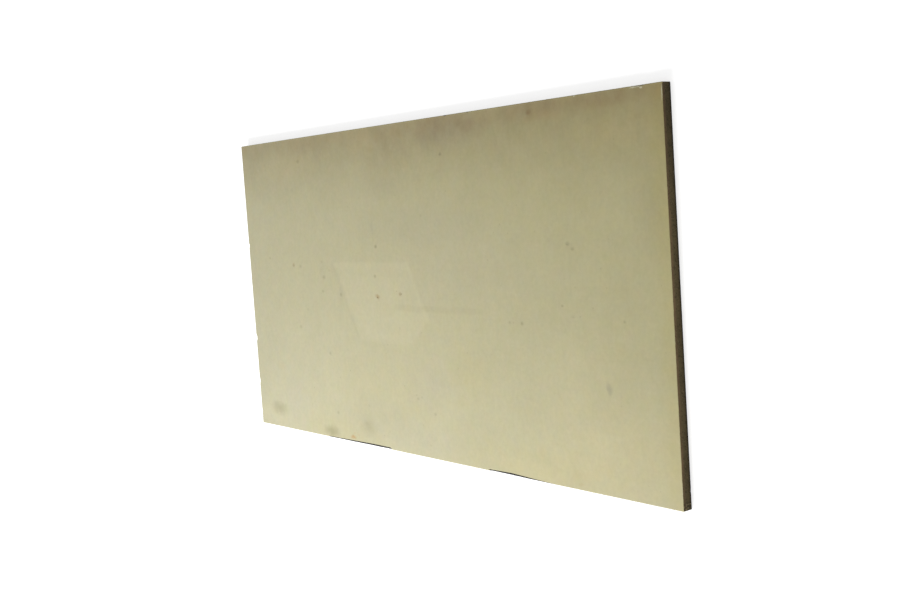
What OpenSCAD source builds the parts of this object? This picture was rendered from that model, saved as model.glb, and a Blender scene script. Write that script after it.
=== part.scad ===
// Faux stone wall panel: one cast sheet, lying flat on its back with the cream face up.
// The origin is at the middle of the back face. X runs along the length, Y up the
// panel from its foot edge to its head edge, and Z out of the face.

/* [Panel] */
// Length of the panel, along X
panel_length = 2440; // [2000:10:3050]
// Width of the panel from foot edge to head edge, along Y
panel_width = 1220; // [600:10:1525]
// Thickness of the panel, along Z
panel_thickness = 35; // [20:1:60]
// Radius of the four corners, seen from the face
corner_radius = 3; // [1:0.5:12]

/* [Arrises] */
// Leg of the worn bevel round the face
face_bevel = 1.5; // [0.5:0.1:4]
// Leg of the worn bevel round the back
back_bevel = 1; // [0.5:0.1:4]

/* [Flaked foot edge] */
// Distance of the left flake's thin end from the left end
left_flake_inset = 520; // [100:5:700]
// Length of the left flake
left_flake_length = 470; // [100:5:600]
// Distance of the right flake's thin end from the right end
right_flake_inset = 520; // [100:5:700]
// Length of the right flake
right_flake_length = 345; // [100:5:600]
// Leg that the left flake breaks off the arris at its deep end
left_flake_leg = 6.5; // [4:0.5:12]
// Leg that the right flake breaks off the arris at its deep end
right_flake_leg = 6; // [4:0.5:12]

/* [Edge nicks] */
// Distance of the left end's upper nick from the head edge
left_nick_drop = 433; // [100:1:500]
// Length of the left end's upper nick along the edge
left_nick_length = 26; // [20:1:120]
// How far the left end's upper nick bites into the face
left_nick_bite = 5.5; // [2:0.5:10]
// Distance of the left end's middle nick, its largest, from the foot edge
mid_nick_rise = 380; // [300:5:500]
// Length of the left end's middle nick along the edge
mid_nick_length = 34; // [20:1:120]
// How far the left end's middle nick bites into the face
mid_nick_bite = 8; // [2:0.5:10]
// Distance of the left end's lower nick from the foot edge
low_nick_rise = 190; // [110:5:280]
// Length of the left end's lower nick along the edge
low_nick_length = 34; // [15:1:100]
// How far the left end's lower nick bites into the face
low_nick_bite = 5; // [2:0.5:10]
// Distance of the left end's lowest nick from the foot edge
foot_nick_rise = 52; // [30:1:100]
// Length of the left end's lowest nick along the edge
foot_nick_length = 26; // [15:1:55]
// How far the left end's lowest nick bites into the face
foot_nick_bite = 3.5; // [2:0.5:10]
// Distance of the head edge's scraped length from the right end
scrape_inset = 90; // [60:5:200]
// Length of the head edge's scraped length
scrape_length = 75; // [20:5:110]
// How far the scrape bites into the face
scrape_bite = 4; // [2:0.5:10]
// Distance of the head edge's small chip from the right end
head_chip_inset = 353; // [270:1:600]
// Length of the head edge's small chip
head_chip_length = 15; // [8:1:60]
// How far the head edge's small chip bites into the face
head_chip_bite = 3; // [2:0.5:10]
// Distance of the broken back arris from the foot edge, on the right end
back_nick_rise = 55; // [30:5:200]
// Length of the broken back arris
back_nick_length = 20; // [10:1:55]
// How far the break bites into the back
back_nick_bite = 2; // [1.5:0.5:10]

/* [Hidden] */

cream = [0.80, 0.77, 0.64];
half_length = panel_length / 2;
half_width = panel_width / 2;
// Half of a right angle: the slope of every bevel and break
bevel_slope = 45;
// Room that a cutting tool takes outside the panel
clear = 20;

// Section of a sheet of a given breadth, standing on its back at the origin, with both
// face corners and both back corners bevelled
module bevelled_section(breadth) {
    half = breadth / 2;
    polygon([
        [-half + back_bevel, 0],
        [half - back_bevel, 0],
        [half, back_bevel],
        [half, panel_thickness - face_bevel],
        [half - face_bevel, panel_thickness],
        [-half + face_bevel, panel_thickness],
        [-half, panel_thickness - face_bevel],
        [-half, back_bevel],
    ]);
}

// Rectangle with rounded corners: the panel seen from its face
module plan() {
    square([panel_length - 2 * corner_radius, panel_width], center = true);
    square([panel_length, panel_width - 2 * corner_radius], center = true);
    for (sx = [-1, 1])
        for (sy = [-1, 1])
            translate([sx * (half_length - corner_radius), sy * (half_width - corner_radius)])
                circle(r = corner_radius, $fn = 48);
}

// The whole sheet before any damage: its plan, its long section and its cross section
module sheet() {
    intersection() {
        linear_extrude(height = panel_thickness) plan();
        rotate([90, 0, 0])
            linear_extrude(height = panel_width + 2 * clear, center = true)
                bevelled_section(panel_length);
        rotate([90, 0, 90])
            linear_extrude(height = panel_length + 2 * clear, center = true)
                bevelled_section(panel_width);
    }
}

// Cutter for a flake off a face arris that runs along X from the origin, with the panel on
// the +Y side. It starts at the worn bevel and breaks off a deeper leg at its far end.
module flake_cutter(length, leg) {
    start_depth = face_bevel * sin(bevel_slope);
    end_depth = leg * sin(bevel_slope);
    rotate([bevel_slope, 0, 0])
        translate([0, 0, -start_depth])
            rotate([0, atan((end_depth - start_depth) / length), 0])
                translate([0, -clear, 0])
                    cube([length, 2 * clear, clear]);
}

// Cutter for a shallow round bite, centred on an arris that runs along X through the
// origin, with the panel on the +Y and -Z side
module bite_cutter(length, bite) {
    depth = bite * sin(bevel_slope);
    radius = (length * length / 4 + depth * depth) / (2 * depth);
    rotate([bevel_slope, 0, 0])
        translate([0, 0, radius - depth])
            rotate([90, 0, 0])
                cylinder(r = radius, h = 2 * clear, center = true, $fn = 96);
}

// Both lengths of the foot arris that have flaked off, each deepest towards the middle
module foot_flakes() {
    translate([-half_length + left_flake_inset, -half_width, panel_thickness])
        flake_cutter(left_flake_length, left_flake_leg);
    translate([half_length - right_flake_inset, -half_width, panel_thickness])
        mirror([1, 0, 0]) flake_cutter(right_flake_length, right_flake_leg);
}

// Nick in the left end's face arris, at a given height up the panel
module left_end_nick(y, length, bite) {
    translate([-half_length, y, panel_thickness])
        rotate([0, 0, -90]) bite_cutter(length, bite);
}

// Bite out of the head edge's face arris, at a given distance from the right end
module head_bite(inset, length, bite) {
    translate([half_length - inset, half_width, panel_thickness])
        rotate([0, 0, 180]) bite_cutter(length, bite);
}

// All the nicks of the left end, the scrape and the chip of the head edge, and the break
// on the right end's back
module nicks() {
    left_end_nick(half_width - left_nick_drop, left_nick_length, left_nick_bite);
    left_end_nick(-half_width + mid_nick_rise, mid_nick_length, mid_nick_bite);
    left_end_nick(-half_width + low_nick_rise, low_nick_length, low_nick_bite);
    left_end_nick(-half_width + foot_nick_rise, foot_nick_length, foot_nick_bite);
    head_bite(scrape_inset, scrape_length, scrape_bite);
    head_bite(head_chip_inset, head_chip_length, head_chip_bite);
    translate([half_length, -half_width + back_nick_rise, 0])
        mirror([0, 0, 1]) rotate([0, 0, 90]) bite_cutter(back_nick_length, back_nick_bite);
}

module panel() {
    color(cream)
        difference() {
            sheet();
            foot_flakes();
            nicks();
        }
}

panel();
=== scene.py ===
from math import radians

import bmesh
import bpy
from bpy.props import FloatProperty, FloatVectorProperty, IntProperty, PointerProperty
from bpy.types import Operator, Panel, PropertyGroup
from mathutils import Matrix, Vector


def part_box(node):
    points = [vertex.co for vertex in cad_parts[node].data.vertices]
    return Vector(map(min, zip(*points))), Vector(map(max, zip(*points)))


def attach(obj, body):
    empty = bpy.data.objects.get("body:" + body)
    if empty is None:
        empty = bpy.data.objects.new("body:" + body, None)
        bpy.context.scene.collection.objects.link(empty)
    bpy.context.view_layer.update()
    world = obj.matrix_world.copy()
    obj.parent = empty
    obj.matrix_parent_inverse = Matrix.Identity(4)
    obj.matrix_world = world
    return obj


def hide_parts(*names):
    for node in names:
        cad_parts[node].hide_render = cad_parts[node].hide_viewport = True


bl_info = {
    "name": "Faux Stone Wall Panel",
    "version": (1, 0, 0),
    "blender": (4, 5, 0),
    "location": "3D View > Sidebar > Stone Panel",
    "description": "Builds a worn cream faux stone sheet and the studio it lies in",
    "category": "Object",
}

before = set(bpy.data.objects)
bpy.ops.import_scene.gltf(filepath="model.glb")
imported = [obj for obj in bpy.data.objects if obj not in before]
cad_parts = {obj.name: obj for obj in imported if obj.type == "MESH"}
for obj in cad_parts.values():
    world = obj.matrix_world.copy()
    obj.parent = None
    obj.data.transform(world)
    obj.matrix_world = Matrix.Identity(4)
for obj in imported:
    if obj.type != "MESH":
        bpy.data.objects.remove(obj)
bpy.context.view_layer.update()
LOW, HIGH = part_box("panel")
LENGTH, WIDTH, THICKNESS = HIGH - LOW

MILLIMETRE = 0.001
WELD = 0.02 * MILLIMETRE  # points closer than this are joined
FLAT = 0.01 * MILLIMETRE  # how level the flat face and back are taken to be
RAY_REACH = 0.02  # how far outside the sheet the rays that look for its arrises start
DIAGONAL = 2**0.5
CORNER_POINTS = 6
RING = 2.6  # size of the dark ring of a pit, in times the pit's own
SHARP = radians(30)
WHITE = (1.0, 1.0, 1.0, 1.0)

FLOAT = "NodeSocketFloat"
WHOLE = "NodeSocketInt"
VECTOR = "NodeSocketVector"
COLOUR = "NodeSocketColor"
GEOMETRY = "NodeSocketGeometry"
OBJECT = "NodeSocketObject"
MATERIAL = "NodeSocketMaterial"

SKIN_COLOURS = ("Cream", "Aged", "Grime", "Stain", "Smudge", "Rust", "Scuff", "Fresh", "Crumb")
BODY_COLOURS = ("Body", "Rind", "Pore", "Sand", "Dirt")

# Each mark on the face is placed by its distance from the left end and its distance from
# the foot edge, in metres.

# Pits that reach through the cream skin, and shallow ones that don't, each with a faint
# dark ring: (from left, from foot, length, width, strength of the ring)
DEEP_PITS = [
    (0.97, 0.582, 0.008, 0.0065, 0.4),
    (1.125, 0.598, 0.0045, 0.0035, 0.6),
]
SHALLOW_PITS = [
    (1.118, 0.598, 0.01, 0.008, 0.46),
    (0.98, 0.774, 0.01, 0.008, 0.58),
    (0.962, 0.662, 0.01, 0.008, 0.42),
    (0.37, 0.702, 0.01, 0.008, 0.52),
    (0.178, 0.732, 0.009, 0.007, 0.26),
    (0.425, 0.698, 0.012, 0.01, 0.25),
    (0.592, 0.716, 0.008, 0.006, 0.17),
    (0.642, 0.682, 0.008, 0.006, 0.16),
    (0.6, 0.655, 0.014, 0.009, 0.32),
    (0.584, 0.598, 0.01, 0.007, 0.3),
    (0.717, 0.587, 0.01, 0.009, 0.38),
    (0.458, 0.52, 0.01, 0.007, 0.16),
    (0.392, 0.447, 0.012, 0.009, 0.25),
    (0.605, 0.347, 0.01, 0.008, 0.31),
    (0.633, 0.108, 0.011, 0.009, 0.26),
    (1.187, 0.215, 0.01, 0.006, 0.24),
    (1.21, 0.222, 0.008, 0.006, 0.14),
    (1.285, 0.167, 0.01, 0.007, 0.24),
    (1.412, 1.09, 0.009, 0.007, 0.56),
    (1.878, 1.188, 0.013, 0.01, 0.66),
    (0.464, 1.125, 0.012, 0.009, 0.36),
    (2.022, 0.773, 0.011, 0.008, 0.38),
    (2.043, 0.757, 0.01, 0.006, 0.36),
    (1.788, 0.517, 0.009, 0.008, 0.36),
    (1.728, 0.518, 0.008, 0.006, 0.24),
    (1.983, 0.58, 0.007, 0.005, 0.38),
    (2.247, 0.54, 0.007, 0.006, 0.3),
    (2.03, 0.548, 0.012, 0.007, 0.16),
]

# Soft marks on the face: (from left, from foot, length, width, strength)
SMUDGES = [
    (0.162, 0.082, 0.19, 0.082, 0.37),
    (0.575, 0.026, 0.16, 0.07, 0.46),
    (0.842, 0.082, 0.08, 0.04, 0.3),
    (0.846, 0.074, 0.15, 0.11, 0.22),
    (0.972, 0.583, 0.048, 0.024, 0.32),
]
RUSTS = [
    (0.733, 0.018, 0.046, 0.024, 0.62),
    (0.742, 0.036, 0.03, 0.014, 0.2),
    (0.772, 0.03, 0.022, 0.012, 0.16),
    (0.372, 0.704, 0.044, 0.034, 0.16),
    (2.01, 0.046, 0.1, 0.06, 0.06),
    (2.024, 0.02, 0.03, 0.02, 0.14),
    (0.205, 0.27, 0.1, 0.06, 0.06),
    (0.972, 0.583, 0.048, 0.024, 0.32),
    (1.118, 0.597, 0.04, 0.03, 0.12),
    (1.88, 1.186, 0.04, 0.03, 0.18),
    (1.95, 1.17, 0.3, 0.06, 0.08),
]
SCUFFS = [
    (2.169, 0.333, 0.028, 0.066, 0.33),
    (0.96, 0.845, 0.026, 0.11, 0.1),
    (2.03, 0.765, 0.07, 0.04, 0.1),
    (0.592, 0.69, 0.06, 0.15, 0.07),
    (0.717, 0.59, 0.04, 0.12, 0.1),
    (0.4, 1.012, 0.05, 0.026, 0.12),
    (1.8, 0.27, 0.1, 0.02, 0.08),
    (1.94, 0.78, 0.05, 0.04, 0.07),
]
STAINS = [
    (1.38, 1.2, 0.48, 0.26, 0.6),
    (1.45, 1.17, 0.24, 0.12, 0.6),
    (0.56, 1.19, 0.42, 0.18, 0.35),
    (1.1, 1.15, 0.52, 0.26, 0.34),
    (1.3, 1.19, 0.34, 0.11, 0.5),
    (1.52, 1.18, 0.44, 0.15, 0.65),
    (1.9, 1.2, 0.5, 0.11, 0.65),
    (2.2, 1.2, 0.56, 0.08, 0.6),
]
COOL_CLOUDS = [
    (1.26, 0.26, 0.36, 0.3, 0.6),
    (1.25, 0.07, 0.64, 0.18, 0.6),
    (0.32, 0.13, 0.28, 0.26, 0.5),
    (1.44, 0.64, 0.44, 0.24, 0.3),
    (1.45, 0.7, 1.4, 0.46, 0.45),
]
PALE_CLOUDS = [
    (2.15, 0.14, 1.0, 0.62, 1.0),
    (2.12, 0.4, 0.56, 0.36, 0.45),
    (1.86, 0.03, 0.76, 0.13, 0.85),
    (2.24, 1.1, 0.5, 0.16, 0.8),
    (0.92, 1.165, 0.28, 0.14, 1.0),
    (0.34, 1.11, 0.64, 0.2, 0.9),
    (0.1, 0.05, 0.4, 0.16, 0.5),
    (2.33, 0.08, 0.42, 0.32, 0.45),
    (0.02, 1.05, 0.12, 0.5, 0.6),
]
DULL_CLOUDS = [
    (1.44, 1.165, 0.5, 0.17, 1.0),
    (0.9, 0.11, 0.8, 0.28, 0.8),
    (1.25, 0.85, 1.3, 0.24, 0.7),
    (2.38, 0.86, 0.22, 0.4, 1.0),
    (1.05, 0.99, 0.48, 0.14, 0.6),
]
OCHRE_CLOUDS = [
    (1.5, 0.33, 0.36, 0.32, 0.8),
    (0.64, 0.04, 0.86, 0.2, 1.0),
    (1.8, 0.05, 1.3, 0.24, 0.75),
    (0.94, 0.2, 1.3, 0.48, 0.55),
    (2.4, 0.86, 0.28, 0.5, 0.8),
    (2.33, 0.08, 0.42, 0.32, 0.35),
]

# The slanted patch of painted reflection and the dull line, from the middle of the face:
# where each side starts to fade in and where it is whole, and how far two of the patch's sides lean
PATCH_FOOT = (-0.212, -0.180)
PATCH_HEAD = (0.112, 0.098)
PATCH_LEFT = (-0.490, -0.470)
PATCH_RIGHT = (0.030, 0.005)
PATCH_CORNER = (-0.165, -0.140)
PATCH_LEAN = 0.52
CORNER_LEAN = -0.82
LINE_LEFT = (-0.16, -0.11)
LINE_RIGHT = (0.40, 0.33)

# Pale fresh scrapes on the head arris, a painted highlight along two stretches of the right
# arris, and dark crumbs stuck on the head arris
SCRAPES_AND_GLINTS = [
    (2.338, 1.2155, 0.08, 0.009, 0.66),
    (2.359, 1.212, 0.02, 0.009, 0.85),
    (2.087, 1.219, 0.016, 0.014, 1.0),
    # Painted highlight along the right arris, at its head end and at its foot end
    (2.4368, 1.19, 0.005, 0.08, 0.8),
    (2.4368, 0.06, 0.005, 0.15, 0.5),
]
CRUMBS = [
    (1.455, 1.219, 0.022, 0.014, 1.0),
    (1.575, 1.219, 0.014, 0.012, 1.0),
]

# Black painted shadow along the foot arris, in its long breaks, as bands whose width changes
# along them: (start, middle and end from the left end, width at each of the three)
FOOT_SHADOW_BANDS = [
    (0.545, 0.88, 0.988, 0.0032, 0.0088, 0.0086),
    (1.568, 1.69, 1.93, 0.0058, 0.0086, 0.0002),
]


# ---------------- node helpers


class Net:
    """A node tree, with short words for adding nodes to it."""

    def __init__(self, tree):
        self.tree = tree

    def feed(self, socket, value):
        """Link a socket to another one, or set its value."""
        if isinstance(value, bpy.types.NodeSocket):
            self.tree.links.new(value, socket)
        else:
            socket.default_value = value

    def fill(self, node, values):
        """Feed inputs of a node, by their names or places."""
        for name, value in values.items():
            self.feed(node.inputs[name], value)

    def node(self, kind, inputs=None, **settings):
        """A new node with its settings and inputs in place."""
        made = self.tree.nodes.new(kind)
        for name, value in settings.items():
            setattr(made, name, value)
        self.fill(made, inputs or {})
        return made

    def get(self, output, kind, inputs=None, **settings):
        """One output of a new node."""
        return self.node(kind, inputs, **settings).outputs[output]

    def math(self, operation, *values, clamp=False):
        """The result of one sum on numbers."""
        values = dict(enumerate(values))
        return self.get(0, "ShaderNodeMath", values, operation=operation, use_clamp=clamp)

    def times(self, first, *others):
        """Numbers multiplied together."""
        for other in others:
            first = self.math("MULTIPLY", first, other)
        return first

    def plus(self, base, *parts):
        """A number plus others, each paired with how much of it is added."""
        for value, amount in parts:
            base = self.math("MULTIPLY_ADD", value, amount, base)
        return base

    def uneven(self, *parts):
        """1 raised and lowered by noises, each paired with its span."""
        centred = [(self.math("SUBTRACT", value, 0.5), span) for value, span in parts]
        return self.plus(1.0, *centred)

    def vector(self, operation, *values):
        """The result of one sum on vectors; SCALE takes a vector and a number."""
        values = dict(enumerate(values))
        if operation == "SCALE":
            values["Scale"] = values.pop(1)
        output = "Value" if operation == "LENGTH" else "Vector"
        return self.get(output, "ShaderNodeVectorMath", values, operation=operation)

    def within(self, point, limit):
        """A point kept between minus a limit and the limit."""
        kept = self.vector("MINIMUM", point, limit)
        return self.vector("MAXIMUM", kept, self.vector("SCALE", limit, -1.0))

    def split(self, vector):
        """The X, Y and Z of a vector."""
        return self.node("ShaderNodeSeparateXYZ", {"Vector": vector}).outputs[:]

    def join(self, x, y, z):
        """A vector from its X, Y and Z."""
        return self.get(0, "ShaderNodeCombineXYZ", {"X": x, "Y": y, "Z": z})

    def fade(self, value, start, end, low=0.0, high=1.0, shape="SMOOTHSTEP"):
        """low at start, high at end, and smooth between them; start may be the larger."""
        return self.get(
            0,
            "ShaderNodeMapRange",
            {"Value": value, "From Min": start, "From Max": end, "To Min": low, "To Max": high},
            interpolation_type=shape,
        )

    def noise(self, vector, scale, detail=2.0, roughness=0.5, seed=0.0):
        """Cloudy noise from 0 to 1."""
        return self.get(
            "Fac",
            "ShaderNodeTexNoise",
            {"Vector": vector, "W": seed, "Scale": scale, "Detail": detail, "Roughness": roughness},
            noise_dimensions="4D",
        )

    def streaks(self, vector, scales, detail=3.0, roughness=0.6, seed=0.0):
        """Noise with its own scale in X, Y and Z."""
        stretched = self.vector("MULTIPLY", vector, scales)
        return self.noise(stretched, 1.0, detail, roughness, seed)

    def wander(self, vector, scale, detail, span, roughness=0.5):
        """A random vector about zero, with its own span in X, Y and Z."""
        inputs = {"Vector": vector, "Scale": scale, "Detail": detail, "Roughness": roughness}
        colour = self.get("Color", "ShaderNodeTexNoise", inputs)
        return self.vector("MULTIPLY", self.vector("SUBTRACT", colour, (0.5, 0.5, 0.5)), span)

    def cells(self, vector, scale):
        """Voronoi cells: the distance from each cell's middle, and a random colour."""
        made = self.node("ShaderNodeTexVoronoi", {"Vector": vector, "Scale": scale})
        return made.outputs["Distance"], made.outputs["Color"]

    def blend(self, share, first, second, mode="MIX"):
        """Two colours mixed by a share of the second."""
        inputs = {0: share, 6: first, 7: second}
        return self.get(2, "ShaderNodeMix", inputs, data_type="RGBA", blend_type=mode)

    def tint(self, share, colour, tone):
        """A colour multiplied by a share of a tone."""
        return self.blend(share, colour, tone, "MULTIPLY")

    def above(self, first, second):
        """Whether a number is above another."""
        inputs = {"A": first, "B": second}
        return self.get(0, "FunctionNodeCompare", inputs, operation="GREATER_THAN")

    def both(self, first, second):
        """Whether two things are true."""
        return self.get(0, "FunctionNodeBooleanMath", {0: first, 1: second}, operation="AND")

    def shape_of(self, thing):
        """The geometry of an object, in its own coordinates."""
        return self.get("Geometry", "GeometryNodeObjectInfo", {"Object": thing})

    def moved(self, geometry, position, offset=(0.0, 0.0, 0.0)):
        """Geometry with its points at a new position."""
        inputs = {"Geometry": geometry, "Position": position, "Offset": offset}
        return self.get("Geometry", "GeometryNodeSetPosition", inputs)

    def welded(self, geometry):
        """Geometry with the points that meet joined."""
        inputs = {"Geometry": geometry, "Distance": WELD}
        return self.get("Geometry", "GeometryNodeMergeByDistance", inputs)

    def together(self, *parts):
        """Several pieces of geometry as one."""
        made = self.node("GeometryNodeJoinGeometry")
        for part in parts:
            self.feed(made.inputs["Geometry"], part)
        return made.outputs["Geometry"]

    def realized(self, geometry):
        """Geometry with its instances made real."""
        return self.get("Geometry", "GeometryNodeRealizeInstances", {"Geometry": geometry})

    def put_out(self, result, geometry, material):
        """End a geometry tree with real instances of one material."""
        inputs = {"Geometry": self.realized(geometry), "Material": material}
        self.fill(result, {"Geometry": self.get(0, "GeometryNodeSetMaterial", inputs)})


def new_group(name, kind, given, results):
    """A node group with its sockets: its net, its inputs by name and its output node."""
    tree = bpy.data.node_groups.new(name, kind)
    for title, socket, *default in given:
        made = tree.interface.new_socket(name=title, in_out="INPUT", socket_type=socket)
        if default:
            made.default_value = default[0]
    for title, socket in results:
        tree.interface.new_socket(name=title, in_out="OUTPUT", socket_type=socket)
    net = Net(tree)
    entry = net.node("NodeGroupInput")
    return net, entry.outputs, net.node("NodeGroupOutput")


def new_material(name):
    """A material with its net and its Principled BSDF."""
    material = bpy.data.materials.new(name)
    material.use_nodes = True
    net = Net(material.node_tree)
    return material, net, net.tree.nodes["Principled BSDF"]


# ---------------- geometry trees


def worn_rim_tree():
    """The sheet's rim: a strip of rows that runs right round it, with worn, broken arrises.

    Each row has an inset from the edge and a height, both from the Section mesh. How much
    of an arris is gone is found by a ray into the Solid, and made ragged by noise.
    """
    net, given, result = new_group(
        "Worn rim",
        "GeometryNodeTree",
        [
            ("Solid", OBJECT), ("Section", OBJECT), ("Rows", WHOLE, 20),
            ("Length", FLOAT, 2.0), ("Width", FLOAT, 1.0), ("Thickness", FLOAT, 0.03),
            ("Corner Radius", FLOAT, 0.003), ("Step", FLOAT, 0.004),
            ("Raggedness", FLOAT, 0.5), ("Chip Leg", FLOAT, 0.004), ("Relief", FLOAT, 0.0005),
            ("Seed", FLOAT, 0.0), ("Material", MATERIAL),
        ],
        [("Geometry", GEOMETRY)],
    )
    thickness = given["Thickness"]
    radius = given["Corner Radius"]
    size = {"Width": given["Length"], "Height": given["Width"]}
    outline = net.get("Curve", "GeometryNodeCurvePrimitiveQuadrilateral", size)
    outline = net.get(
        "Curve",
        "GeometryNodeFilletCurve",
        {"Curve": outline, "Count": CORNER_POINTS, "Radius": radius, "Limit Radius": True},
        mode="POLY",
    )
    perimeter = net.get("Length", "GeometryNodeCurveLength", {"Curve": outline})
    columns = net.math("ROUND", net.math("DIVIDE", perimeter, given["Step"]))
    counts = {"Vertices X": net.math("ADD", columns, 1.0), "Vertices Y": given["Rows"]}
    strip = net.get("Mesh", "GeometryNodeMeshGrid", counts)
    index = net.get("Index", "GeometryNodeInputIndex")
    row = net.math("FLOORED_MODULO", index, given["Rows"])
    column = net.math("FLOOR", net.math("DIVIDE", net.math("ADD", index, 0.5), given["Rows"]))

    # Where each column meets the outline, and which way is out of the sheet there
    inputs = {"Curves": outline, "Factor": net.math("DIVIDE", column, columns)}
    edge = net.get("Position", "GeometryNodeSampleCurve", inputs, mode="FACTOR")
    half = net.join(net.times(given["Length"], 0.5), net.times(given["Width"], 0.5), 1.0)
    core = net.vector("SUBTRACT", half, net.join(radius, radius, 0.0))
    outward = net.vector("NORMALIZE", net.vector("SUBTRACT", edge, net.within(edge, core)))

    # The row's own inset and height
    position = net.get(0, "GeometryNodeInputPosition")
    inputs = {"Geometry": net.shape_of(given["Section"]), "Index": row, "Value": position}
    place = net.get("Value", "GeometryNodeSampleIndex", inputs, data_type="FLOAT_VECTOR")
    inset, _, height = net.split(place)
    drop = net.math("SUBTRACT", thickness, height)

    # How much of each arris is gone, as the leg of its bevel, and how far that pushes a row
    solid = net.shape_of(given["Solid"])
    outside = net.vector("ADD", edge, net.vector("SCALE", outward, RAY_REACH))

    def pushed(start_height, way, seed, fall):
        hit = net.get(
            "Hit Distance",
            "GeometryNodeRaycast",
            {
                "Target Geometry": solid,
                "Source Position": net.vector("ADD", outside, net.join(0.0, 0.0, start_height)),
                "Ray Direction": net.vector("ADD", net.vector("SCALE", outward, -1.0), way),
                "Ray Length": 4 * RAY_REACH,
            },
        )
        depth = net.math("SUBTRACT", hit, RAY_REACH * DIAGONAL)
        leg = net.math("MAXIMUM", net.times(depth, DIAGONAL), 0.0)
        seeded = net.math("ADD", given["Seed"], seed)
        rag = net.fade(net.noise(edge, 38.0, 6.0, 0.72, seeded), 0.3, 0.75)
        leg = net.times(leg, net.plus(1.0, (rag, given["Raggedness"])))
        chip = net.fade(net.noise(edge, 9.0, 5.0, 0.7, net.math("ADD", seeded, 7.0)), 0.6, 0.85)
        leg = net.plus(leg, (chip, given["Chip Leg"]))
        room = net.math("SUBTRACT", leg, net.math("ADD", inset, fall))
        return net.math("MAXIMUM", net.times(room, 0.5), 0.0)

    over = net.math("ADD", thickness, RAY_REACH)
    face_push = pushed(over, (0.0, 0.0, -1.0), 1.0, drop)
    back_push = pushed(-RAY_REACH, (0.0, 0.0, 1.0), 2.0, height)

    # Shallow relief of the sawn edge, fading out over the first millimetres of the face
    point = net.vector("ADD", edge, net.join(0.0, 0.0, height))
    rough = net.noise(point, 55.0, 4.0, 0.6, given["Seed"])
    relief = net.times(rough, given["Relief"], net.fade(inset, 3 * MILLIMETRE, 0.0))
    both_push = net.math("ADD", face_push, back_push)
    moved_in = net.math("ADD", net.math("ADD", inset, relief), both_push)
    moved_up = net.math("ADD", net.math("SUBTRACT", height, face_push), back_push)
    bounded = net.vector("SUBTRACT", half, net.join(moved_in, moved_in, 0.0))
    pulled = net.vector("SCALE", outward, net.math("MINIMUM", moved_in, radius))
    x, y, _ = net.split(net.within(net.vector("SUBTRACT", edge, pulled), bounded))
    rim = net.moved(strip, net.join(x, y, moved_up))
    rim = net.welded(net.get("Mesh", "GeometryNodeFlipFaces", {"Mesh": rim}))

    # The open middles of the face and the back
    bare = net.above(1.5, net.get(0, "GeometryNodeInputMeshEdgeNeighbors"))
    x, y, z = net.split(position)
    upper = net.above(z, net.times(thickness, 0.5))
    lower = net.get(0, "FunctionNodeBooleanMath", {0: upper}, operation="NOT")

    def middle(side, level):
        inputs = {"Mesh": rim, "Selection": net.both(bare, side)}
        hoop = net.get("Curve", "GeometryNodeMeshToCurve", inputs)
        filled = net.get("Mesh", "GeometryNodeFillCurve", {"Curve": hoop}, mode="NGONS")
        return net.moved(filled, net.join(x, y, level))

    face = middle(upper, thickness)
    back = net.get("Mesh", "GeometryNodeFlipFaces", {"Mesh": middle(lower, 0.0)})
    net.put_out(result, net.welded(net.together(back, face, rim)), given["Material"])
    return net.tree


def pits_tree():
    """Pits pressed into the face: named ones at given places, and scattered pinholes."""
    net, given, result = new_group(
        "Face pits",
        "GeometryNodeTree",
        [
            ("Geometry", GEOMETRY), ("Places", OBJECT), ("Pinhole Density", FLOAT, 20.0),
            ("Pinhole Radius", FLOAT, 0.0012), ("Seed", WHOLE, 0), ("Material", MATERIAL),
        ],
        [("Geometry", GEOMETRY)],
    )
    bead = net.get("Mesh", "GeometryNodeMeshIcoSphere", {"Radius": 1.0, "Subdivisions": 3})
    position = net.get(0, "GeometryNodeInputPosition")
    lump = net.fade(net.noise(position, 1.3, 2.0, 0.5), 0.25, 0.75, 0.7, 1.0)
    bead = net.moved(bead, net.vector("SCALE", position, lump), (0.0, 0.0, 0.13))

    def beads_on(points, size):
        inputs = {"Points": points, "Instance": bead, "Scale": size}
        return net.get("Instances", "GeometryNodeInstanceOnPoints", inputs)

    # Named pits, each with its own size
    stored = net.node("GeometryNodeInputNamedAttribute", data_type="FLOAT_VECTOR")
    net.fill(stored, {"Name": "pit_size"})
    named = beads_on(net.shape_of(given["Places"]), stored.outputs["Attribute"])

    # Scattered pinholes, clear of the edges
    facing = net.split(net.get(0, "GeometryNodeInputNormal"))[2]
    on_face = net.above(facing, 0.99)
    wide = net.above(net.get(0, "GeometryNodeInputMeshFaceArea"), 0.5)
    spread = net.get(
        "Points",
        "GeometryNodeDistributePointsOnFaces",
        {
            "Mesh": given["Geometry"],
            "Selection": net.both(on_face, wide),
            "Distance Min": 0.012,
            "Density Max": given["Pinhole Density"],
            "Seed": given["Seed"],
        },
        distribute_method="POISSON",
    )
    span = {"Seed": given["Seed"], 2: 0.5, 3: 1.5}
    across = net.get(1, "FunctionNodeRandomValue", span, data_type="FLOAT")
    across = net.times(across, given["Pinhole Radius"])
    scattered = beads_on(spread, net.join(across, across, across))
    cut = net.get(
        "Mesh",
        "GeometryNodeMeshBoolean",
        {"Mesh 1": given["Geometry"], "Mesh 2": net.realized(net.together(named, scattered))},
        operation="DIFFERENCE",
        solver="MANIFOLD",
    )
    net.put_out(result, cut, given["Material"])
    return net.tree


# ---------------- shader groups


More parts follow.
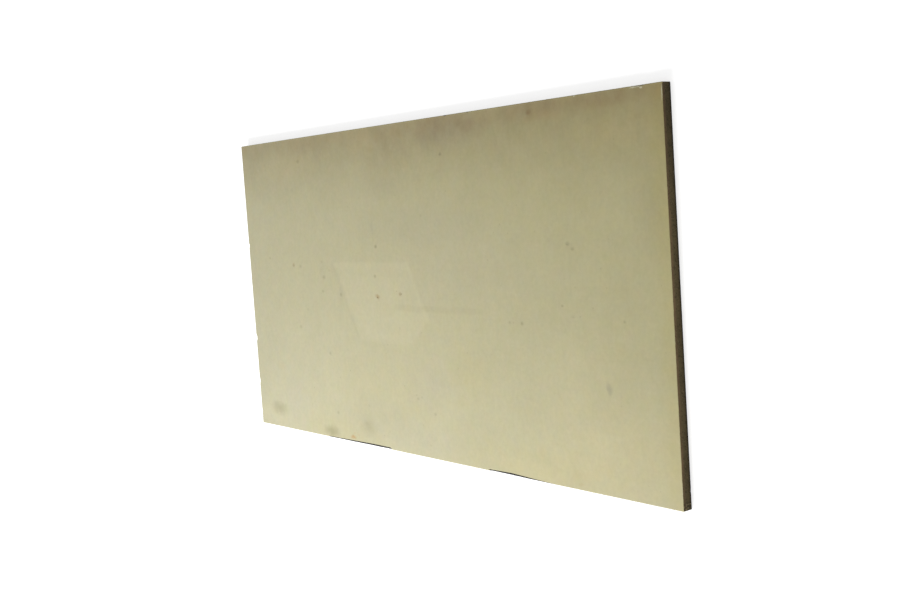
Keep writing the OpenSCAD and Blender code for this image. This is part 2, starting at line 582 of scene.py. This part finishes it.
def soft_spot_group():
    """A soft oval: Strength at its middle and 0 outside."""
    net, given, result = new_group(
        "Soft spot",
        "ShaderNodeTree",
        [
            ("Position", VECTOR), ("Centre", VECTOR),
            ("Half Size", VECTOR, (0.05, 0.05, 1.0)), ("Strength", FLOAT, 1.0),
        ],
        [("Mask", FLOAT)],
    )
    offset = net.vector("SUBTRACT", given["Position"], given["Centre"])
    away = net.vector("LENGTH", net.vector("DIVIDE", offset, given["Half Size"]))
    net.fill(result, {"Mask": net.fade(away, 1.0, 0.1, 0.0, given["Strength"])})
    return net.tree


def spots(net, group, position, places, reach=1.0):
    """One mask for a table of soft spots, which reach a given way below the face."""
    mask = 0.0
    for left, rise, length, width, strength in places:
        centre = (LOW.x + left, LOW.y + rise, HIGH.z)
        half = (length / 2, width / 2, reach)
        inputs = {"Position": position, "Centre": centre, "Half Size": half, "Strength": strength}
        spot = net.get("Mask", "ShaderNodeGroup", inputs, node_tree=group)
        mask = net.math("MAXIMUM", mask, spot)
    return mask


def cream_skin_group(spot_group):
    """The face: a smooth cream skin, yellowed, clouded, stained and scuffed, with a painted
    reflection and highlight.
    """
    net, given, result = new_group(
        "Cream skin",
        "ShaderNodeTree",
        [("Position", VECTOR)] + [(name, COLOUR) for name in SKIN_COLOURS],
        [("Color", COLOUR), ("Roughness", FLOAT), ("Height", FLOAT)],
    )
    position = given["Position"]
    x, y, _ = net.split(position)
    along = net.math("DIVIDE", x, LENGTH / 2)
    up = net.math("DIVIDE", y, WIDTH / 2)
    head = HIGH.y

    def marks(places, where=position):
        return spots(net, spot_group, where, places)

    # Yellowing, stronger towards the right end and the head edge
    broad = net.noise(position, 1.7, 4.0, 0.55, 3.0)
    age = net.plus(0.22, (up, 0.25), (along, 0.30))
    age = net.math("ADD", age, net.times(broad, 0.5), clamp=True)
    colour = net.blend(age, given["Cream"], given["Aged"])
    hue = net.wander(position, 22.0, 4.0, (0.11, 0.05, 0.22), 0.62)
    colour = net.vector("MULTIPLY", colour, net.vector("ADD", hue, (1.0, 1.0, 1.0)))
    tan = net.fade(x, HIGH.x - 0.090, HIGH.x - 0.010)
    colour = net.tint(tan, colour, (1.0, 0.98, 0.88, 1.0))

    # Clouds and dapples, and the fine streaks that wiping leaves along and across the sheet
    cloud = net.noise(position, 6.5, 6.0, 0.6, 5.0)
    dapple = net.noise(position, 19.0, 3.0, 0.6, 7.0)
    mottle = net.noise(position, 60.0, 4.0, 0.65, 8.0)
    lengthwise = net.streaks(position, (4.0, 150.0, 1.0))
    crosswise = net.streaks(position, (130.0, 5.0, 1.0))
    shade = net.uneven(
        (cloud, 0.12), (dapple, 0.09), (mottle, 0.19), (lengthwise, 0.03), (crosswise, 0.03)
    )

    # Painted reflection: a paler slanted patch with a dark left side and a pale right side; and a
    # dull line
    wobble = net.times(net.noise(position, 9.0, 3.0, 0.5, 2.0), 0.02)
    lean = net.math("ADD", net.plus(x, (y, PATCH_LEAN)), wobble)
    corner = net.plus(y, (x, CORNER_LEAN))
    tall = net.times(
        net.fade(y, *PATCH_FOOT), net.fade(y, *PATCH_HEAD), net.fade(corner, *PATCH_CORNER)
    )
    wide = net.times(net.fade(lean, *PATCH_LEFT), net.fade(lean, *PATCH_RIGHT))
    reflection_patch = net.times(wide, tall)
    line_length = net.times(net.fade(x, *LINE_LEFT), net.fade(x, *LINE_RIGHT))

    def band(value, middle, outer, inner, extent):
        away = net.math("ABSOLUTE", net.math("SUBTRACT", value, middle))
        return net.times(net.fade(away, outer, inner), extent)

    shade = net.plus(
        shade,
        (reflection_patch, 0.048),
        (band(lean, 0.012, 0.018, 0.0054, tall), 0.020),
        (band(lean, -0.480, 0.024, 0.0072, tall), -0.028),
        (band(y, 0.092, 0.018, 0.0054, reflection_patch), 0.010),
        (band(net.math("ADD", y, wobble), -0.053, 0.017, 0.004, line_length), -0.052),
    )
    colour = net.vector("SCALE", colour, shade)
    # The painted reflection is a little bluer
    colour = net.tint(reflection_patch, colour, (1.005, 1.003, 1.02, 1.0))
    for clouds, tone in (
        (COOL_CLOUDS, (0.975, 0.970, 1.06, 1.0)),
        (OCHRE_CLOUDS, (1.0, 0.985, 0.92, 1.0)),
        (PALE_CLOUDS, (1.085, 1.065, 1.045, 1.0)),
        (DULL_CLOUDS, (0.93, 0.93, 0.97, 1.0)),
    ):
        colour = net.tint(marks(clouds), colour, tone)
    pits = DEEP_PITS + SHALLOW_PITS
    rings = [
        (left, rise, RING * length, RING * width, dark) for left, rise, length, width, dark in pits
    ]
    colour = net.blend(marks(rings), colour, given["Smudge"])

    # Grime that has crept down from the head edge, and stains along it
    creep = net.noise(position, 5.0, 5.0, 0.6, 11.0)
    depth = net.plus(net.math("SUBTRACT", head - 0.086, y), (creep, 0.16), (crosswise, 0.015))
    drip = net.streaks(position, (14.0, 12.0, 1.0), 5.0, 0.62, 15.0)
    soil = net.times(
        net.math("POWER", net.fade(depth, 0.40, -0.02), 1.3),
        net.plus(0.78, (along, 0.11)),
        net.fade(drip, 0.30, 0.70, 0.85, 1.15),
    )
    colour = net.tint(soil, colour, given["Grime"])
    stain = net.times(marks(STAINS), net.fade(drip, 0.25, 0.65, 0.35, 1.0))
    colour = net.tint(stain, colour, given["Stain"])
    rub = net.times(net.fade(y, head - 0.080, head - 0.020), net.fade(dapple, 0.2, 0.6))
    colour = net.tint(rub, colour, (0.98, 0.94, 0.92, 1.0))
    worn = net.fade(y, head - 0.008, head - 0.004)
    colour = net.tint(worn, colour, (1.06, 1.09, 1.08, 1.0))

    # Frayed outlines for the marks
    jitter = net.wander(position, 26.0, 3.0, (0.035, 0.035, 0.035))
    frayed = net.vector("ADD", position, jitter)
    frayed_fine = net.vector("ADD", position, net.vector("SCALE", jitter, 0.25))
    smudge = marks(SMUDGES, frayed)

    # Faint blots and fine dark specks, in drifts
    drift = net.fade(net.noise(position, 2.6, 2.0, 0.5, 13.0), 0.42, 0.62)
    near, tone = net.cells(position, 17.0)
    blot = net.times(net.fade(near, 0.16, 0.02), net.fade(net.split(tone)[0], 0.5, 0.9), drift)
    near, tone = net.cells(position, 34.0)
    speck = net.times(
        net.fade(near, 0.16, 0.04),
        net.fade(net.split(tone)[1], 0.7, 0.9),
        net.plus(0.3, (drift, 0.7)),
    )

    # Scrapes, and the painted highlight on the right arris, torn by the grain of the skin
    torn = net.plus(-0.35, (net.noise(position, 180.0, 4.0, 0.65), 0.7))
    fresh = net.math("ADD", marks(SCRAPES_AND_GLINTS, frayed_fine), torn)
    for mask, name in (
        (smudge, "Smudge"),
        (marks(RUSTS, frayed), "Rust"),
        (marks(SCUFFS, frayed), "Scuff"),
        (net.times(blot, 0.20), "Smudge"),
        (net.times(speck, 0.30), "Smudge"),
        (net.fade(fresh, 0.25, 0.60, 0.0, 0.85), "Fresh"),
        (net.fade(marks(CRUMBS, frayed_fine), 0.1, 0.6, 0.0, 0.9), "Crumb"),
    ):
        colour = net.blend(mask, colour, given[name])
    rough = net.plus(0.36, (cloud, 0.16), (smudge, 0.20), (soil, 0.12))
    peel = net.noise(position, 160.0, 2.0, 0.5)
    relief = net.plus(0.0, (peel, 0.00006), (cloud, 0.0008), (speck, -0.0003))
    net.fill(result, {"Color": colour, "Roughness": rough, "Height": relief})
    return net.tree


def brown_body_group():
    """The body under the skin: brown binder with dark pores and pale grains of sand, with painted
    shade and shadow.
    """
    net, given, result = new_group(
        "Brown body",
        "ShaderNodeTree",
        [("Position", VECTOR)] + [(name, COLOUR) for name in BODY_COLOURS],
        [("Color", COLOUR), ("Roughness", FLOAT), ("Height", FLOAT), ("Shadowed", FLOAT)],
    )
    position = given["Position"]
    x, y, height = net.split(position)
    blotch = net.noise(position, 22.0, 5.0, 0.65, 4.0)
    crumb = net.noise(position, 210.0, 4.0, 0.7, 6.0)
    broad = net.noise(position, 7.0, 2.0, 0.5, 12.0)
    drawn = net.streaks(position, (18.0, 18.0, 260.0), seed=5.0)
    dusty = net.times(net.fade(height, 0.0, HIGH.z), net.fade(crumb, 0.35, 0.7), 0.12)
    warp = net.wander(position, 420.0, 3.0, (0.0045, 0.0045, 0.0045))
    near, tone = net.cells(net.vector("ADD", position, warp), 260.0)
    kind, size, _ = net.split(tone)
    near = net.times(near, net.plus(0.6, (size, 1.2)))
    grain = net.times(net.fade(near, 0.5, 0.25), net.fade(kind, 0.70, 0.78))
    pore = net.times(net.fade(near, 0.55, 0.3), net.fade(kind, 0.24, 0.18))

    # Redder in patches just under the skin, and streaked along the edge
    rind = net.times(
        net.fade(height, HIGH.z - 0.014, HIGH.z - 0.002),
        net.fade(net.noise(position, 11.0, 3.0), 0.30, 0.65, 0.5, 0.9),
    )
    colour = given["Body"]
    for mask, name in (
        (net.fade(blotch, 0.35, 0.75, 0.0, 0.5), "Pore"),
        (dusty, "Sand"),
        (net.times(grain, 0.28), "Sand"),
        (net.times(pore, 0.6), "Pore"),
        (rind, "Rind"),
    ):
        colour = net.blend(mask, colour, given[name])
    # Painted shade: darker towards the head edge, where the light falls off; a little darker in the
    # half towards the foot
    shade = net.times(
        net.uneven((broad, 0.50), (drawn, 0.35)),
        net.fade(y, HIGH.y - 0.45, HIGH.y, 1.0, 0.58),
        net.fade(y, 0.15, -0.30, 1.0, 0.89),
    )
    colour = net.vector("SCALE", colour, shade)

    # Painted shade where the sides meet the floor: they darken towards the back, all round the rim
    over_x = net.math("SUBTRACT", net.math("ABSOLUTE", x), HIGH.x)
    over_y = net.math("SUBTRACT", net.math("ABSOLUTE", y), HIGH.y)
    rim = net.fade(net.math("MAXIMUM", over_x, over_y), -0.012, -0.004)
    shadow_height = net.plus(height, (blotch, 0.006))

    # Soiled and gritty at the foot of the right end
    corner = net.times(
        net.fade(y, LOW.y + 0.032, LOW.y + 0.020), net.fade(x, HIGH.x - 0.006, HIGH.x - 0.002)
    )
    grit = net.noise(position, 150.0, 2.0, 0.5, 9.0)
    for pattern, start, end, share, extent, name in (
        (shadow_height, 0.018, 0.008, 0.30, rim, "Pore"),
        (shadow_height, 0.0110, 0.0065, 0.70, rim, "Dirt"),
        (grit, 0.58, 0.40, 0.85, corner, "Pore"),
        (grit, 0.56, 0.64, 0.60, corner, "Sand"),
    ):
        stain = net.times(net.fade(pattern, start, end, 0.0, share), extent)
        colour = net.blend(stain, colour, given[name])

    # Painted shadow, black in the breaks of the foot arris and over their lips too
    foot_shadow = 0.0
    from_foot = net.math("ADD", y, net.plus(-LOW.y - 0.0006, (crumb, 0.0012)))
    for *places, first, widest, last in FOOT_SHADOW_BANDS:
        start, middle, end = (LOW.x + place for place in places)
        lip = net.math("ADD", from_foot, net.fade(x, start, middle, -first, -widest, "LINEAR"))
        lip = net.math("ADD", lip, net.fade(x, middle, end, 0.0, widest - last, "LINEAR"))
        inside = net.times(
            net.fade(lip, 0.0004, -0.0004),
            net.fade(x, start, start + 0.006),
            net.fade(x, end, end - 0.006),
        )
        foot_shadow = net.math("MAXIMUM", foot_shadow, inside)
    foot_shadow = net.times(foot_shadow, net.fade(height, HIGH.z - 0.011, HIGH.z - 0.008))
    colour = net.blend(foot_shadow, colour, given["Dirt"])
    rough = net.plus(0.80, (crumb, 0.15))
    relief = net.plus(0.0, (crumb, 0.0012), (grain, 0.0005), (pore, -0.0010))
    net.fill(result, {"Color": colour, "Roughness": rough, "Height": relief, "Shadowed": foot_shadow})
    return net.tree


def faux_stone_material(finish):
    """Cream skin over a brown body, which shows wherever the skin is cut or broken."""
    material, net, shader = new_material("Faux stone")
    position = net.get("Object", "ShaderNodeTexCoord")
    spot_group = soft_spot_group()
    skin = net.node("ShaderNodeGroup", node_tree=cream_skin_group(spot_group))
    body = net.node("ShaderNodeGroup", node_tree=brown_body_group())
    for group, names in ((skin, SKIN_COLOURS), (body, BODY_COLOURS)):
        colours = {name: (*getattr(finish, name.lower()), 1.0) for name in names}
        net.fill(group, {"Position": position, **colours})

    # The skin wraps over the long arrises, and ends at the saw cut of both ends
    stray = 0.3 * MILLIMETRE
    soft = 0.15 * MILLIMETRE
    scrape_reach = 12 * MILLIMETRE
    fray = net.noise(position, 240.0, 4.0, 0.7)
    _, y, z = net.split(position)
    wrap = net.fade(net.math("ABSOLUTE", y), HIGH.y - 0.006, HIGH.y - 0.003, 0.0, finish.skin_wrap)
    height = net.math("ADD", net.plus(z, (fray, 2 * stray)), wrap)
    break_line = HIGH.z - finish.skin_depth + stray
    covered = net.fade(height, break_line - soft, break_line + soft)
    # The skin also shows at the scrapes and the painted highlight; the painted foot shadow covers
    # it
    fresh = net.fade(spots(net, spot_group, position, SCRAPES_AND_GLINTS, scrape_reach), 0.0, 0.2)
    unshadowed = net.math("SUBTRACT", 1.0, body.outputs["Shadowed"])
    covered = net.times(net.math("MAXIMUM", covered, fresh), unshadowed)
    colour = net.blend(covered, body.outputs["Color"], skin.outputs["Color"])
    rough, relief = (
        net.get(0, "ShaderNodeMix", {0: covered, 2: body.outputs[name], 3: skin.outputs[name]})
        for name in ("Roughness", "Height")
    )
    bump = net.get("Normal", "ShaderNodeBump", {"Height": relief, "Distance": 1.0})
    net.fill(shader, {"Base Color": colour, "Roughness": rough, "Normal": bump})
    net.fill(shader, {"Specular IOR Level": 0.3})
    return material


# ---------------- building the sheet


def set_input(modifier, name, value):
    """Set a geometry tree's input by its name, through the socket's identifier."""
    for item in modifier.node_group.interface.items_tree:
        if item.item_type == "SOCKET" and item.in_out == "INPUT" and item.name == name:
            modifier[item.identifier] = value
            return
    raise ValueError(f"{modifier.node_group.name} has no input named {name}")


def link_new(name, data):
    """A new object of a mesh, light or camera, at the origin."""
    made = bpy.data.objects.new(name, data)
    bpy.context.scene.collection.objects.link(made)
    return made


def new_mesh(name, points, faces=()):
    """A mesh of points, and of the faces between them if there are any."""
    made = bpy.data.meshes.new(name)
    made.from_pydata(points, [], faces)
    return made


def grown(mesh, name, tree, values):
    """The plain mesh that a geometry tree makes of a mesh with the given inputs."""
    holder = link_new(name, mesh)
    modifier = holder.modifiers.new(name, "NODES")
    modifier.node_group = tree
    for title, value in values.items():
        set_input(modifier, title, value)
    seen = holder.evaluated_get(bpy.context.evaluated_depsgraph_get())
    made = bpy.data.meshes.new_from_object(seen)
    bpy.data.objects.remove(holder)
    if not made.polygons:
        raise RuntimeError(f"{name} came out empty")
    return made


def section_rows():
    """Rows of the rim from the face round to the back: (inset from the edge, height)."""
    insets = [30.0, 14.0, 9.0, 6.0, 4.0, 2.5, 1.2]
    drops = [0.0, 1.2, 2.5, 4.0, 6.5, 10.0]
    over = [(inset * MILLIMETRE, THICKNESS) for inset in insets]
    upper = [(0.0, THICKNESS - drop * MILLIMETRE) for drop in drops]
    lower = [(0.0, drop * MILLIMETRE) for drop in reversed(drops)]
    middle = [(0.0, THICKNESS / 2)]
    under = [(inset * MILLIMETRE, 0.0) for inset in reversed(insets)]
    return over + upper + middle + lower + under


def set_shading(mesh):
    """Smooth shading, broken at sharp bends and wherever the flat face or back ends."""
    mesh.shade_smooth()
    mesh.set_sharp_from_angle(angle=SHARP)
    shape = bmesh.new()
    shape.from_mesh(mesh)
    level = {}
    for face in shape.faces:
        heights = [corner.co.z for corner in face.verts]
        level[face] = min(heights) > THICKNESS - FLAT or max(heights) < FLAT
    for edge in shape.edges:
        if len({level[face] for face in edge.link_faces}) > 1:
            edge.smooth = False
    shape.to_mesh(mesh)
    shape.free()


def build_sheet(shape, finish):
    """The sheet: a worn rim closed by a flat face and back, with pits in its face."""
    material = faux_stone_material(finish)
    rows = section_rows()
    section = link_new("section", new_mesh("section", [(inset, 0.0, rise) for inset, rise in rows]))
    blank = grown(
        new_mesh("blank", []),
        "blank",
        worn_rim_tree(),
        {
            "Solid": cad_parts["panel"],
            "Section": section,
            "Rows": len(rows),
            "Length": LENGTH,
            "Width": WIDTH,
            "Thickness": THICKNESS,
            "Corner Radius": shape.corner_radius,
            "Step": shape.arris_step,
            "Raggedness": shape.raggedness,
            "Chip Leg": shape.chip_leg,
            "Relief": shape.edge_relief,
            "Seed": float(shape.seed),
            "Material": material,
        },
    )
    pits = [(*pit, shape.deep_pit) for pit in DEEP_PITS]
    pits += [(*pit, shape.shallow_pit) for pit in SHALLOW_PITS]
    points = new_mesh("places", [(LOW.x + pit[0], LOW.y + pit[1], HIGH.z) for pit in pits])
    size = points.attributes.new("pit_size", "FLOAT_VECTOR", "POINT")
    for point, (_, _, length, width, _, depth) in zip(size.data, pits):
        point.vector = (length / 2, width / 2, depth)
    places = link_new("places", points)
    mesh = grown(
        blank,
        "pitted",
        pits_tree(),
        {
            "Places": places,
            "Pinhole Density": shape.pinhole_density,
            "Pinhole Radius": shape.pinhole_radius,
            "Seed": shape.seed,
            "Material": material,
        },
    )
    for helper in (section, places):
        bpy.data.objects.remove(helper)
    set_shading(mesh)
    sheet = link_new("stone_sheet", mesh)
    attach(sheet, "root")
    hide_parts("panel")


# ---------------- stage


def seen_directly(net):
    """1 for camera, glossy and transmission rays, and 0 for the rest."""
    path = net.node("ShaderNodeLightPath").outputs
    seen = net.math("MAXIMUM", path["Is Camera Ray"], path["Is Glossy Ray"])
    return net.math("MAXIMUM", seen, path["Is Transmission Ray"])


def floor_material(stage):
    """A matt pale floor that reads as white where it isn't in shadow."""
    near, far = 1.8, 5.0
    material, net, shader = new_material("Studio floor")
    away = net.vector("LENGTH", net.get("Object", "ShaderNodeTexCoord"))
    lift = net.fade(away, near, far, stage.floor_lift, stage.far_lift)
    lift = net.times(seen_directly(net), lift)
    net.fill(shader, {"Emission Color": WHITE, "Emission Strength": lift})
    net.fill(shader, {"Base Color": (*stage.floor_colour, 1.0), "Roughness": 0.9})
    net.fill(shader, {"Specular IOR Level": 0.0})
    return material


def build_floor(stage):
    """A level floor, far wider than the view."""
    reach = stage.floor_reach
    level = LOW.z - 0.2 * MILLIMETRE
    corners = [(-reach, -reach), (reach, -reach), (reach, reach), (-reach, reach)]
    mesh = new_mesh("floor", [(x, y, level) for x, y in corners], [(0, 1, 2, 3)])
    mesh.materials.append(floor_material(stage))
    floor = link_new("floor", mesh)


def turned_to(place, aim, upward=Vector((0.0, 0.0, 1.0))):
    """The turn of a camera or lamp at a place that looks at aim, with upward up."""
    back = (place - aim).normalized()
    right = upward.cross(back).normalized()
    return Matrix((right, back.cross(right), back)).transposed().to_euler()


def build_lamp(stage):
    """A soft key lamp with its length level, turned to the sheet's middle line."""
    light = bpy.data.lights.new("key", "AREA")
    light.shape = "RECTANGLE"
    light.size = stage.key_length
    light.size_y = stage.key_width
    light.energy = stage.key_power
    place = Vector(stage.key_place)
    lamp = link_new("key", light)
    lamp.location = place
    lamp.rotation_euler = turned_to(place, Vector((place.x, 0.0, 0.0)))


def build_world(stage):
    """White to the camera, and a dimmer even fill on the sheet."""
    world = bpy.data.worlds.new("Studio")
    world.use_nodes = True
    bpy.context.scene.world = world
    net = Net(world.node_tree)
    strength = net.plus(stage.fill, (seen_directly(net), 1.0 - stage.fill))
    net.fill(net.tree.nodes["Background"], {"Color": WHITE, "Strength": strength})


def build_camera(stage):
    """The camera, looking down over the sheet from beyond its right end."""
    data = bpy.data.cameras.new("camera")
    data.lens = stage.lens
    data.sensor_width = 36.0
    data.clip_end = 200.0
    place = Vector(stage.camera_place)
    upward = Vector(stage.picture_up)
    camera = link_new("camera", data)
    camera.location = place
    camera.rotation_euler = turned_to(place, Vector(stage.camera_aim), upward)
    bpy.context.scene.camera = camera


# ---------------- settings


def length_property(title, words, default, low, high):
    """A small length as a setting."""
    return FloatProperty(
        name=title, description=words, default=default, min=low, max=high,
        unit="LENGTH", precision=4,
    )


def share_property(title, words, default):
    """A setting from 0 to 1."""
    return FloatProperty(
        name=title, description=words, default=default, min=0.0, max=1.0, subtype="FACTOR"
    )


def place_property(title, words, default):
    """A point as a setting."""
    return FloatVectorProperty(
        name=title, description=words, default=default, subtype="TRANSLATION", unit="LENGTH"
    )


def colour_property(title, words, default):
    """A colour as a setting."""
    return FloatVectorProperty(
        name=title, description=words, default=default, min=0.0, max=1.0, subtype="COLOR"
    )


class StoneSheetShape(PropertyGroup):
    """Sizes of the sheet's edges and pits"""

    corner_radius: length_property(
        "Corner radius", "Radius of the corners, seen from the face", 0.003, 0.001, 0.012
    )
    arris_step: length_property("Arris step", "Distance between edge points", 0.004, 0.003, 0.05)
    raggedness: share_property("Raggedness", "How far a broken arris strays from its line", 0.35)
    chip_leg: length_property(
        "Chip size", "Leg of the largest small chips along the arrises", 0.004, 0.0, 0.01
    )
    edge_relief: length_property("Edge relief", "Unevenness of the edges", 0.0005, 0.0, 0.002)
    deep_pit: length_property(
        "Deep pits", "Depth of the pits that reach through the skin", 0.002, 0.001, 0.006
    )
    shallow_pit: length_property(
        "Shallow pits", "Depth of the pits that stay within the skin", 0.0006, 0.0003, 0.001
    )
    pinhole_density: FloatProperty(
        name="Pinholes", description="Pinholes in each square metre of the face",
        default=26.0, min=0.0, max=100.0,
    )
    pinhole_radius: length_property("Pinhole radius", "Mean pinhole radius", 0.001, 0.0005, 0.004)
    seed: IntProperty(name="Seed", description="Changes where the random wear falls", default=3)


class StoneSheetFinish(PropertyGroup):
    """Colours of the skin, its marks and the body"""

    cream: colour_property("Cream", "The skin where it is cleanest", (0.551, 0.520, 0.346))
    aged: colour_property("Aged cream", "The skin where it has yellowed", (0.490, 0.450, 0.240))
    grime: colour_property("Grime", "What the head edge's dirt lets through", (0.72, 0.67, 0.61))
    stain: colour_property("Stain", "What the head edge's stains let through", (0.84, 0.77, 0.80))
    smudge: colour_property("Smudge", "Olive-grey smudges and pits' rings", (0.25, 0.235, 0.125))
    rust: colour_property("Rust", "Orange and reddish marks", (0.48, 0.27, 0.09))
    scuff: colour_property("Scuff", "Lilac-grey scuffs", (0.25, 0.230, 0.185))
    # Pale scrapes, and the painted highlight along the right arris
    fresh: colour_property("Fresh", "Pale fresh scrapes", (0.64, 0.61, 0.42))
    crumb: colour_property("Crumb", "Dark crumbs on the head arris", (0.09, 0.075, 0.045))
    body: colour_property("Body", "The brown body", (0.150, 0.114, 0.050))
    rind: colour_property("Rind", "The body just under the skin", (0.25, 0.165, 0.085))
    pore: colour_property("Pores", "Dark pores of the body", (0.036, 0.027, 0.011))
    sand: colour_property("Sand", "Pale grains and dust on the body", (0.34, 0.27, 0.15))
    # Painted shadow: the black of the foot arris's breaks, and the shade where the sides meet the
    # floor
    dirt: colour_property("Dirt", "Dirt in the foot edge's breaks", (0.012, 0.010, 0.010))
    skin_depth: length_property("Skin depth", "Thickness of the skin", 0.0008, 0.0003, 0.003)
    skin_wrap: length_property(
        "Skin wrap", "How far the skin turns down over the long arrises", 0.0016, 0.0, 0.006
    )


class StoneSheetStage(PropertyGroup):
    """The floor, the light and the camera"""

    floor_colour: colour_property("Floor", "Colour of the studio floor", (0.80, 0.80, 0.80))
    floor_lift: share_property(
        "Floor lift", "Brightness that the camera sees added to the floor", 0.66
    )
    far_lift: share_property("Far lift", "The same, far from the sheet", 0.80)
    floor_reach: FloatProperty(
        name="Floor reach", description="Half the width of the floor",
        default=60.0, min=5.0, max=90.0, unit="LENGTH",
    )
    key_place: place_property("Key lamp", "Place of the soft key lamp", (-0.5, -2.3, 2.2))
    key_length: FloatProperty(
        name="Key length", description="Length of the key lamp", default=3.0, unit="LENGTH"
    )
    key_width: FloatProperty(
        name="Key width", description="Width of the key lamp", default=1.2, unit="LENGTH"
    )
    key_power: FloatProperty(
        name="Key power", description="Power of the key lamp", default=95.0, unit="POWER"
    )
    fill: share_property("Fill", "Strength of the even light from all round", 0.38)
    camera_place: place_property("Camera", "Place of the camera", (3.522, 0.328, 2.604))
    camera_aim: place_property("Aim", "Point that the camera looks at", (0.188, -0.027, 0.030))
    picture_up: FloatVectorProperty(
        name="Picture up", description="Direction on the floor that points up in the picture",
        default=(0.108, 1.0, 0.0), subtype="DIRECTION",
    )
    lens: FloatProperty(
        name="Lens", description="Focal length of the camera in millimetres", default=48.45
    )


# ---------------- operators and panel


class STONESHEET_OT_sheet(Operator):
    """Build the worn cream sheet in place of its plain solid"""

    bl_idname = "stonesheet.sheet"
    bl_label = "Stone Sheet"

    def execute(self, context):
        build_sheet(context.scene.stone_sheet_shape, context.scene.stone_sheet_finish)
        return {"FINISHED"}


class STONESHEET_OT_stage(Operator):
    """Build the floor, the lamp, the world and the camera"""

    bl_idname = "stonesheet.stage"
    bl_label = "Studio Stage"

    def execute(self, context):
        for build in (build_floor, build_world, build_lamp, build_camera):
            build(context.scene.stone_sheet_stage)
        context.scene.view_settings.view_transform = "Standard"
        return {"FINISHED"}


class STONESHEET_PT_sidebar(Panel):
    """Lists the sheet's and the stage's operators with their settings"""

    bl_label = "Stone Panel"
    bl_idname = "STONESHEET_PT_sidebar"
    bl_space_type = "VIEW_3D"
    bl_region_type = "UI"
    bl_category = "Stone Panel"

    def draw(self, context):
        scene = context.scene
        for operator, groups in (
            (STONESHEET_OT_sheet, (scene.stone_sheet_shape, scene.stone_sheet_finish)),
            (STONESHEET_OT_stage, (scene.stone_sheet_stage,)),
        ):
            box = self.layout.box()
            box.operator(operator.bl_idname)
            for group in groups:
                for name in group.__annotations__:
                    box.prop(group, name)


CLASSES = (
    StoneSheetShape,
    StoneSheetFinish,
    StoneSheetStage,
    STONESHEET_OT_sheet,
    STONESHEET_OT_stage,
    STONESHEET_PT_sidebar,
)


def register():
    for each in CLASSES:
        bpy.utils.register_class(each)
    bpy.types.Scene.stone_sheet_shape = PointerProperty(type=StoneSheetShape)
    bpy.types.Scene.stone_sheet_finish = PointerProperty(type=StoneSheetFinish)
    bpy.types.Scene.stone_sheet_stage = PointerProperty(type=StoneSheetStage)


def unregister():
    del bpy.types.Scene.stone_sheet_stage
    del bpy.types.Scene.stone_sheet_finish
    del bpy.types.Scene.stone_sheet_shape
    for each in reversed(CLASSES):
        bpy.utils.unregister_class(each)


def main():
    """Build everything in order."""
    register()
    bpy.ops.stonesheet.sheet()
    bpy.ops.stonesheet.stage()


if __name__ == "__main__":
    main()
